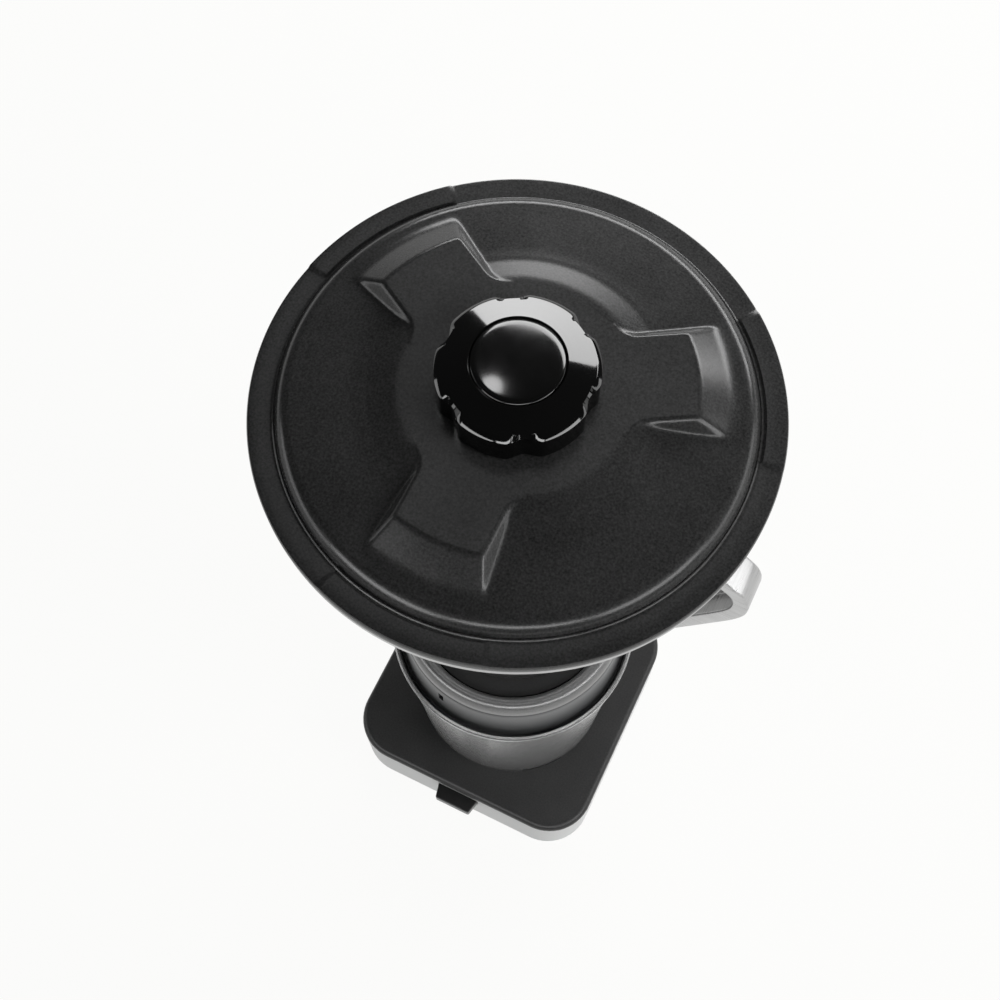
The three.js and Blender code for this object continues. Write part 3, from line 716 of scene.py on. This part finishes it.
def brushed(name, dark, light, roughness):
    """Metal finished with a belt: lines round the piece, drawn coarser than real so that they show."""
    line_long, line_wide = 22, 0.55
    material, tree, shader, place = surface(name, Metallic=1.0)
    squeeze = {"Scale": (1, 1, line_long / line_wide)}
    squeezed = add(tree, "ShaderNodeMapping", squeeze, place).outputs["Vector"]
    grit = {"Scale": per_metre(line_long), "Detail": 5.0}
    lines = add(tree, "ShaderNodeTexNoise", grit, {"Vector": squeezed}).outputs["Fac"]
    tinted(tree, shader, lines, dark, light)
    rougher(tree, shader, lines, roughness - 0.06, roughness + 0.1)
    bumped(tree, shader, lines, 0.006)
    return material


def enamelled(name, dark, light, roughness, metallic):
    """Sprayed metallic enamel: soft sheen, very fine flake and a trace of orange peel."""
    material, tree, shader, place = surface(name, Metallic=metallic)
    flakes = add(tree, "ShaderNodeTexNoise", {"Scale": per_metre(0.9), "Detail": 2.0}, place)
    peel = add(tree, "ShaderNodeTexNoise", {"Scale": per_metre(2.5)}, place).outputs["Fac"]
    tinted(tree, shader, flakes.outputs["Fac"], dark, light)
    rougher(tree, shader, peel, roughness - 0.04, roughness + 0.06)
    bumped(tree, shader, peel, 0.0004)
    return material


def rubber(name, colour, worn):
    """Moulded rubber: matte with a dusty bloom in patches."""
    return moulded(name, colour, worn, 0.72, 1.1, 0.03, 0.35)


def laminated(name, dark, light, layer):
    """A stack of steel sheets or a winding, drawn far coarser than real so that the layers show."""
    material, tree, shader, place = surface(name, Metallic=0.8)
    # The bands repeat every 2 pi / 20 of their scaled length, so each is 2 pi times the given layer.
    bands = {"bands_direction": "Z", "Scale": per_metre(layer) / 20, "Distortion": 0.2}
    layers = add(tree, "ShaderNodeTexWave", bands, place).outputs["Fac"]
    tinted(tree, shader, layers, dark, light)
    rougher(tree, shader, layers, 0.4, 0.6)
    bumped(tree, shader, layers, 0.05)
    return material


FINISHES = {
    "abs_light_grey": moulded("abs_light_grey", "CECFCF", "D8D9D9", 0.42, 0.9, 0.006),
    "abs_black_cover": moulded("abs_black_cover", "2A2A2A", "3C3C3C", 0.38, 1.0, 0.02, 0.4),
    "abs_black_lid": moulded("abs_black_lid", "1E1E1E", "404040", 0.22, 0.9, 0.016, 0.33),
    "abs_grey_collar": moulded("abs_grey_collar", "4E4F50", "58595A", 0.36, 1.0, 0.008),
    "polished_black": polished("polished_black", "050505", 0.06),
    "polished_boss": polished("polished_boss", "050505", 0.13),
    "polished_tongue": polished("polished_tongue", "0A0A0A", 0.3),
    "silver_enamel": enamelled("silver_enamel", "CACACA", "D4D4D4", 0.22, 0.8),
    "bead_enamel": enamelled("bead_enamel", "767676", "828282", 0.34, 0.5),
    "brushed_stainless": brushed("brushed_stainless", "A8A8A8", "C0C0C0", 0.28),
    "ground_steel": brushed("ground_steel", "8A8C8E", "A9ABAD", 0.3),
    "cast_aluminium": enamelled("cast_aluminium", "8F9092", "A8A9AB", 0.5, 0.95),
    "steel_laminations": laminated("steel_laminations", "3A3C3F", "64676A", 1.0),
    "copper_wire": laminated("copper_wire", "8A4A22", "C98046", 1.4),
    "sintered_bronze": enamelled("sintered_bronze", "8E6A36", "B58C50", 0.45, 0.95),
    "black_rubber": rubber("black_rubber", "181818", "242424"),
    "nylon": moulded("nylon", "D5D1C4", "E3E0D6", 0.45, 1.2, 0.01),
    "circuit_lacquer": moulded("circuit_lacquer", "1F5A30", "2F7040", 0.3, 3.0, 0.01),
    "pressed_carbon": moulded("pressed_carbon", "202022", "2E2E30", 0.65, 0.6, 0.02),
}


def coat(piece, finish):
    """Gives the piece its finish."""
    piece.data.materials.clear()
    piece.data.materials.append(FINISHES[finish])


# ------------------------------------------------------------------ pieces
coat(base_housing(), "abs_light_grey")
coat(base_cover(), "abs_black_cover")
coat(switch_tongue(), "polished_tongue")
coat(column_shell(), "silver_enamel")
coat(seat_collar(), "abs_grey_collar")
coat(seat_ring(), "bead_enamel")
coat(seat_pad(), "black_rubber")
coat(jar_body(), "brushed_stainless")
coat(jar_foot(), "brushed_stainless")
coat(jar_handle(), "brushed_stainless")
lid = lid_shell()
coat(lid, "abs_black_lid")
coat(lid_gasket(), "black_rubber")
coat(filler_plug(), "abs_black_lid")
knob, boss = cap_knob(), cap_boss()
coat(knob, "polished_black")
coat(boss, "polished_boss")

# The carried CAD nodes take their finish from the record's material slot.
SLOT_FINISH = {
    "black_cover_plastic": "abs_black_cover",
    "black_rubber": "black_rubber",
    "steel": "ground_steel",
    "gloss_black_plastic": "polished_tongue",
    "pale_nylon": "nylon",
    "board_green": "circuit_lacquer",
    "cast_aluminium": "cast_aluminium",
    "lamination": "steel_laminations",
    "copper": "copper_wire",
    "carbon": "pressed_carbon",
    "bronze": "sintered_bronze",
    "stainless": "brushed_stainless",
    "light_grey_plastic": "abs_light_grey",
    "satin_grey_metal": "silver_enamel",
    "grey_collar_plastic": "abs_grey_collar",
    "matte_black_lid": "abs_black_lid",
}
for part in frame["record"]["subparts"]:
    node = frame["nodes"][part["node"]]
    finish = FINISHES[SLOT_FINISH[part["material_slot"]]]
    for material_slot in node.material_slots:
        material_slot.material = finish
    bevelled(node, 0.3)


# ------------------------------------------------------------------ studio
def floor():
    """An endless pale floor that glows evenly, so that the ground stays nearly white."""
    half = 30
    corners = ((-half, -half), (half, -half), (half, half), (-half, half))
    builder = bmesh.new()
    builder.faces.new([builder.verts.new((x, y, 0)) for x, y in corners])
    piece = finished("floor", builder, None)
    material, _, shader, _ = surface("pale_floor", Base_Color=linear("3A3A39"), Roughness=0.9)
    shader.inputs["Emission Color"].default_value = linear("FDFDFC")
    shader.inputs["Emission Strength"].default_value = 0.96
    shader.inputs["Specular IOR Level"].default_value = 0.0
    piece.data.materials.append(material)


def panel(name, azimuth, elevation, distance, wide, tall, glow):
    """A soft light aimed at the knob, sizes in metres. Azimuth runs from +X towards +Y."""
    data = bpy.data.lights.new(name, "AREA")
    data.shape = "RECTANGLE"
    data.size = wide
    data.size_y = tall
    data.energy = glow * (wide * tall) * math.pi
    return aimed(name, data, azimuth, elevation, distance)


def lamp(name, azimuth, elevation, distance, wide, glow):
    """A round soft light aimed at the knob."""
    data = bpy.data.lights.new(name, "AREA")
    data.shape = "DISK"
    data.size = wide
    data.energy = glow * (math.pi * wide * wide / 4) * math.pi
    return aimed(name, data, azimuth, elevation, distance)


def aimed(name, data, azimuth, elevation, distance):
    """Stands the light this far from the knob, looking at it."""
    turn, rise = math.radians(azimuth), math.radians(elevation)
    away = Vector((math.cos(rise) * math.cos(turn), math.cos(rise) * math.sin(turn), math.sin(rise)))
    light = bpy.data.objects.new(name, data)
    light.location = Vector((0, 0, KNOB_RIM * MM)) + away * distance
    light.rotation_euler = away.to_track_quat("Z", "Y").to_euler()
    bpy.context.scene.collection.objects.link(light)
    return light


def group(name, pieces):
    """A set of pieces that a light can be kept to."""
    chosen = bpy.data.collections.new(name)
    for piece in pieces:
        chosen.objects.link(piece)
    return chosen


def keep_to(pieces, light):
    """Lets the light fall on these pieces alone."""
    light.light_linking.receiver_collection = pieces


def studio():
    """Softboxes behind and beside, strips low in front, and faint light from the air."""
    world = bpy.data.worlds.new("studio_air")
    world.use_nodes = True
    air = world.node_tree.nodes["Background"]
    air.inputs["Color"].default_value = linear("F4F5F6")
    air.inputs["Strength"].default_value = 0.05
    bpy.context.scene.world = world

    shiny = (knob, boss)
    meshes = [thing for thing in bpy.context.scene.objects if thing.type == "MESH"]
    polished_pieces = group("polished_pieces", shiny)
    satin_pieces = group("satin_pieces", [piece for piece in meshes if piece not in shiny])
    lid_pieces = group("lid_pieces", [lid])
    keep_to(satin_pieces, panel("back_softbox", 93, 16, 1.3, wide=1.96, tall=0.3, glow=10))
    keep_to(polished_pieces, panel("knob_softbox", 94, 31, 1.3, wide=1.96, tall=0.62, glow=10.5))
    keep_to(polished_pieces, lamp("small_lamp", 163, 72, 1.4, wide=0.3, glow=12))
    keep_to(lid_pieces, lamp("dim_ceiling", 122, 64, 1.4, wide=1.3, glow=0.56))

    # The strips only make reflections, and the fill only makes diffuse light.
    strips = [panel("front_strip", -64, 27, 1.4, wide=1.0, tall=0.24, glow=10)]
    for side, near, far in (("right", -17, 24), ("left", -111, -152)):
        strips.append(panel(side + "_near_strip", near, 21, 1.4, wide=1.0, tall=0.36, glow=7))
        strips.append(panel(side + "_far_strip", far, 9, 1.4, wide=1.0, tall=0.36, glow=3))
    for strip in strips:
        strip.visible_diffuse = False
    side_fill = lamp("side_fill", 0, 30, 1.6, wide=1.0, glow=7)
    side_fill.visible_glossy = False


def camera():
    """The camera stands high in front and a little to the right, looking steeply down on the lid."""
    place = Vector((94.4, -205.9, 919.2)) * MM
    turn = Matrix.Rotation(math.radians(26.328), 4, "Z")
    tip = Matrix.Rotation(math.radians(21.970), 4, "X")
    roll = Matrix.Rotation(math.radians(-0.478), 4, "Z")
    data = bpy.data.cameras.new("camera")
    data.lens = 50
    eye = bpy.data.objects.new("camera", data)
    eye.matrix_world = Matrix.Translation(place) @ turn @ tip @ roll
    bpy.context.scene.collection.objects.link(eye)
    bpy.context.scene.camera = eye


floor()
studio()
camera()
bpy.context.scene.view_settings.view_transform = "Standard"
